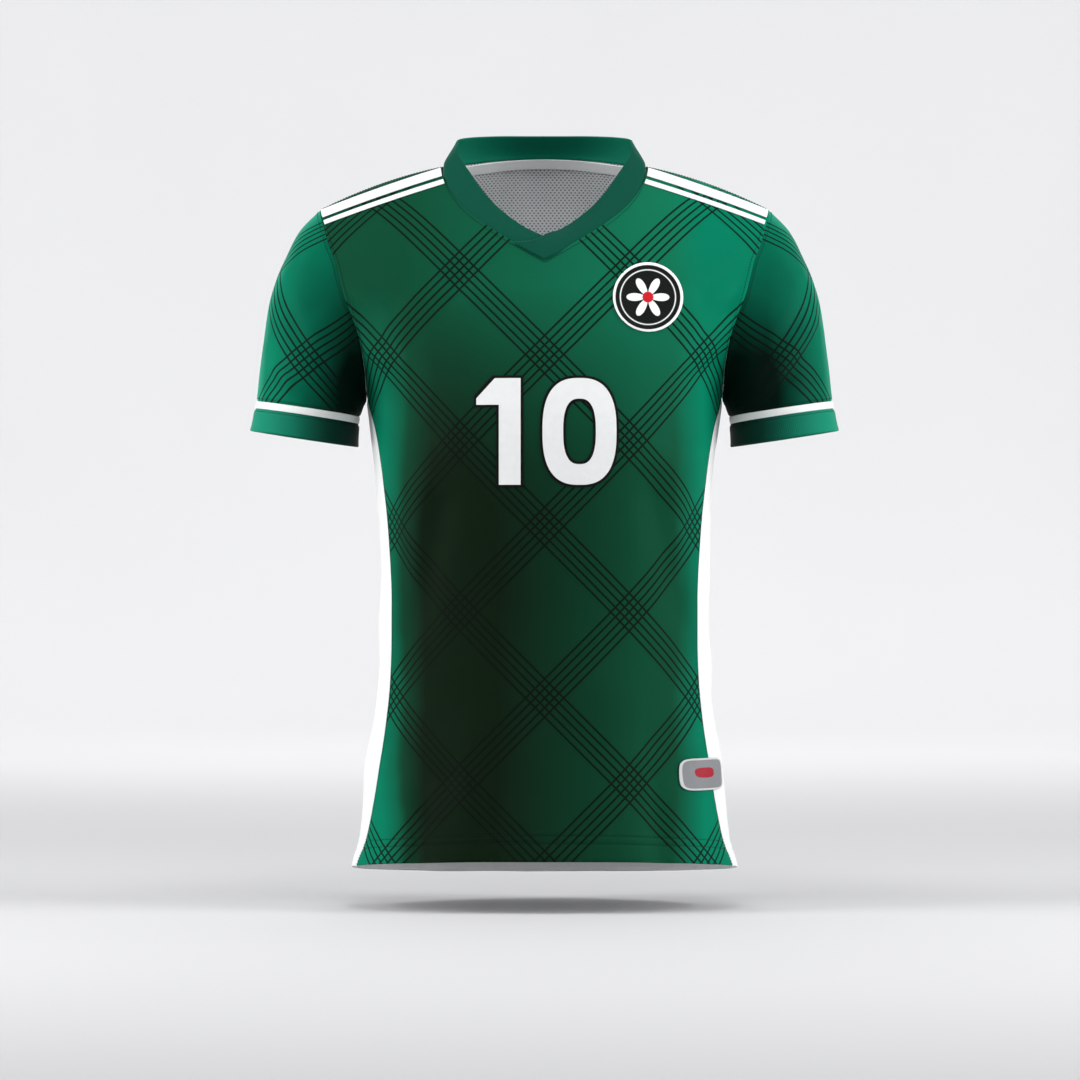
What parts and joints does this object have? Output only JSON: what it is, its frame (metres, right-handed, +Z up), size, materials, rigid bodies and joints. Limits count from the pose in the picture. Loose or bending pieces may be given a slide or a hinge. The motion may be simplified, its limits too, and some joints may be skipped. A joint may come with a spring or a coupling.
{
  "type": "football jersey, filled out with no wearer",
  "caption": "Short-sleeved V-neck football jersey in green with white side panels and shoulder tapes, filled out as if worn, hollow and open at neck, hem and cuffs.",
  "frame": {"origin": "midway between the wearer's shoulders, at the height of the two neck points, where the shoulder seams meet the collar", "axes": "+Z up, -Y out of the front, +X towards the wearer's left side (the right of the picture)"},
  "size_m": [0.588, 0.2348, 0.7462],
  "materials": {
    "body_cloth": "knitted polyester, matte",
    "white_cloth": "knitted mesh, matte",
    "rib_cloth": "ribbed double cloth, matte",
    "white_tape": "smooth woven tape",
    "neck_tape": "woven tape, matte",
    "badge": "embroidered",
    "label": "satin woven label"
  },
  "bodies": {
    "root": {"front": "body_cloth", "back": "body_cloth", "collar": "rib_cloth", "neck_tape": "neck_tape", "chest_badge": "badge", "hem_label": "label", "side_panel_left": "white_cloth", "sleeve_left": "body_cloth", "cuff_stripe_left": "white_cloth", "cuff_left": "rib_cloth", "shoulder_tape_broad_left": "white_tape", "shoulder_tape_narrow_left": "white_tape", "side_panel_right": "white_cloth", "sleeve_right": "body_cloth", "cuff_stripe_right": "white_cloth", "cuff_right": "rib_cloth", "shoulder_tape_broad_right": "white_tape", "shoulder_tape_narrow_right": "white_tape"}
  },
  "joints": []
}
